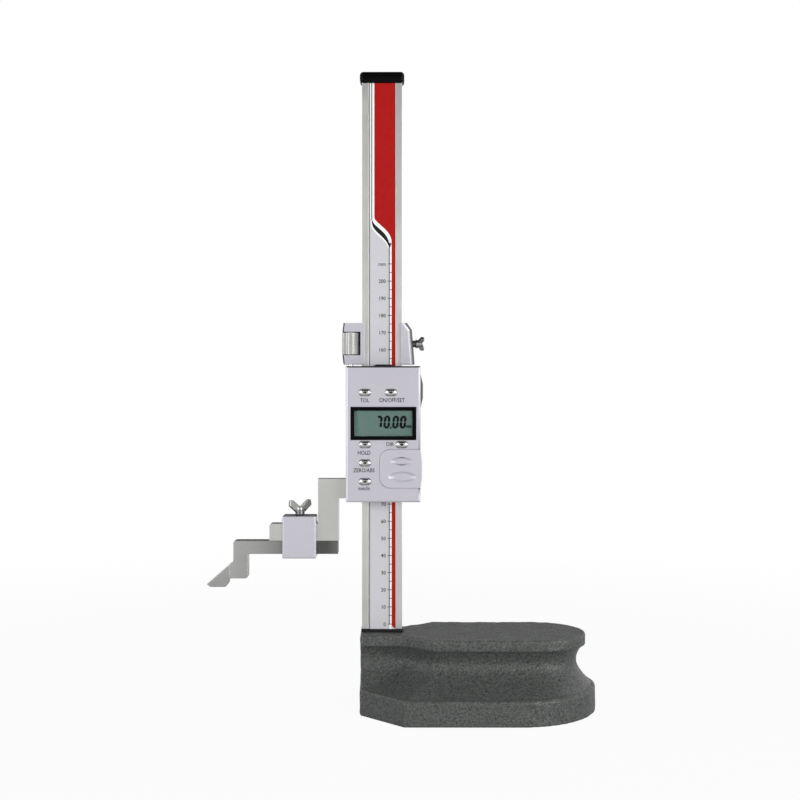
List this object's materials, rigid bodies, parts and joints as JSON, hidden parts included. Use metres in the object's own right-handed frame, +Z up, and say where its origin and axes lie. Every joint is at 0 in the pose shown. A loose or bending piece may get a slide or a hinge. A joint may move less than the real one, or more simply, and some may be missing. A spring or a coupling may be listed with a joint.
{
  "type": "height gauge",
  "caption": "Digital height gauge on a heavy cast base: upright scale beam, sliding display with fine feed, offset jaw and clamped scriber.",
  "frame": {"origin": "on the base's underside, on the column's axis", "axes": "+Z up along the column, +X from the column towards the base's round end (the scriber points to -X), -Y towards the person who reads the display"},
  "size_m": [0.2268, 0.096, 0.3704],
  "materials": {
    "cast_base": "grey hammer-finish paint over cast iron",
    "steel": "ground satin stainless steel",
    "black_rubber": "black rubber",
    "label_film": "printed film with a red stripe and a millimetre scale",
    "circuit": "green circuit laminate",
    "case": "silver-grey moulded case",
    "silver_paint": "silver-grey paint",
    "black_plastic": "black moulding",
    "lens": "clear window",
    "lcd": "reflective liquid-crystal display",
    "brass": "plain brass",
    "chrome": "polished plating",
    "screw_steel": "dark steel fasteners",
    "carbide": "ground carbide",
    "dark_trim": "dark grey moulding"
  },
  "bodies": {
    "root": {"base_casting": "cast_base", "column_foot_gasket": "black_rubber", "column_screws": "screw_steel", "column_beam": "steel", "scale_circuit_strip": "circuit", "scale_label": "label_film", "column_end_cap": "black_plastic"},
    "slider": {"slider_frame": "steel", "housing_screws": "screw_steel", "gib_screws": "screw_steel", "gib_strip": "brass", "measuring_jaw": "steel", "jaw_screws": "screw_steel", "display_housing": "case", "display_bezel": "black_plastic", "display_lens": "lens", "lcd_panel": "lcd", "lcd_contact_strips": "black_rubber", "circuit_board": "circuit", "board_screws": "screw_steel", "button_pad": "black_rubber", "coin_cell": "steel", "battery_contact": "brass", "data_port_cover": "dark_trim", "top_wiper": "black_rubber", "fine_feed_rod": "steel"},
    "battery_door": {"battery_cover": "case"},
    "carriage": {"carriage_body": "silver_paint", "lock_pad": "brass"},
    "thumb_nut": {"fine_feed_nut": "steel"},
    "carriage_lock": {"lock_screw": "chrome"},
    "clamp": {"clamp_box": "silver_paint"},
    "clamp_lock": {"clamp_screw": "chrome"},
    "scriber": {"scriber_shank": "steel", "scriber_tip": "carbide"},
    "key_tolerance": {"button_tolerance": "chrome"},
    "key_power": {"button_power": "chrome"},
    "key_hold": {"button_hold": "chrome"},
    "key_direction": {"button_direction": "chrome"},
    "key_zero": {"button_zero": "chrome"},
    "key_unit": {"button_unit": "chrome"}
  },
  "joints": [
    {"name": "slider_travel", "type": "slide", "parent": "root", "child": "slider", "axis": [0, 0, 1], "range_m": [-0.07, 0.13]},
    {"name": "carriage_feed", "type": "slide", "parent": "slider", "child": "carriage", "axis": [0, 0, 1], "range_m": [0, 0.006]},
    {"name": "thumb_nut_spin", "type": "hinge", "parent": "carriage", "child": "thumb_nut", "pos_m": [-0.0183, -0.0015, 0.212], "axis": [0, 0, 1], "range_deg": [0, 4320]},
    {"name": "carriage_lock_turn", "type": "hinge", "parent": "carriage", "child": "carriage_lock", "pos_m": [0.0196, 0, 0.212], "axis": [1, 0, 0], "range_deg": [0, 360]},
    {"name": "clamp_slide", "type": "slide", "parent": "slider", "child": "clamp", "axis": [1, 0, 0], "range_m": [-0.0065, 0.0008]},
    {"name": "clamp_lock_turn", "type": "hinge", "parent": "clamp", "child": "clamp_lock", "pos_m": [-0.0482, 0, 0.1122], "axis": [0, 0, 1], "range_deg": [0, 360]},
    {"name": "scriber_slide", "type": "slide", "parent": "slider", "child": "scriber", "axis": [1, 0, 0], "range_m": [-0.012, 0.01]},
    {"name": "battery_door_slide", "type": "slide", "parent": "slider", "child": "battery_door", "axis": [1, 0, 0], "range_m": [0, 0.022]},
    {"name": "press_tolerance", "type": "slide", "parent": "slider", "child": "key_tolerance", "axis": [0, 1, 0], "range_m": [0, 0.0005], "stiffness_N_per_m": 600},
    {"name": "press_power", "type": "slide", "parent": "slider", "child": "key_power", "axis": [0, 1, 0], "range_m": [0, 0.0005], "stiffness_N_per_m": 600},
    {"name": "press_hold", "type": "slide", "parent": "slider", "child": "key_hold", "axis": [0, 1, 0], "range_m": [0, 0.0005], "stiffness_N_per_m": 600},
    {"name": "press_direction", "type": "slide", "parent": "slider", "child": "key_direction", "axis": [0, 1, 0], "range_m": [0, 0.0005], "stiffness_N_per_m": 600},
    {"name": "press_zero", "type": "slide", "parent": "slider", "child": "key_zero", "axis": [0, 1, 0], "range_m": [0, 0.0005], "stiffness_N_per_m": 600},
    {"name": "press_unit", "type": "slide", "parent": "slider", "child": "key_unit", "axis": [0, 1, 0], "range_m": [0, 0.0005], "stiffness_N_per_m": 600}
  ],
  "couplings": [
    {"joint": "thumb_nut_spin", "follows": "carriage_feed", "rad_per_m": 12566}
  ]
}
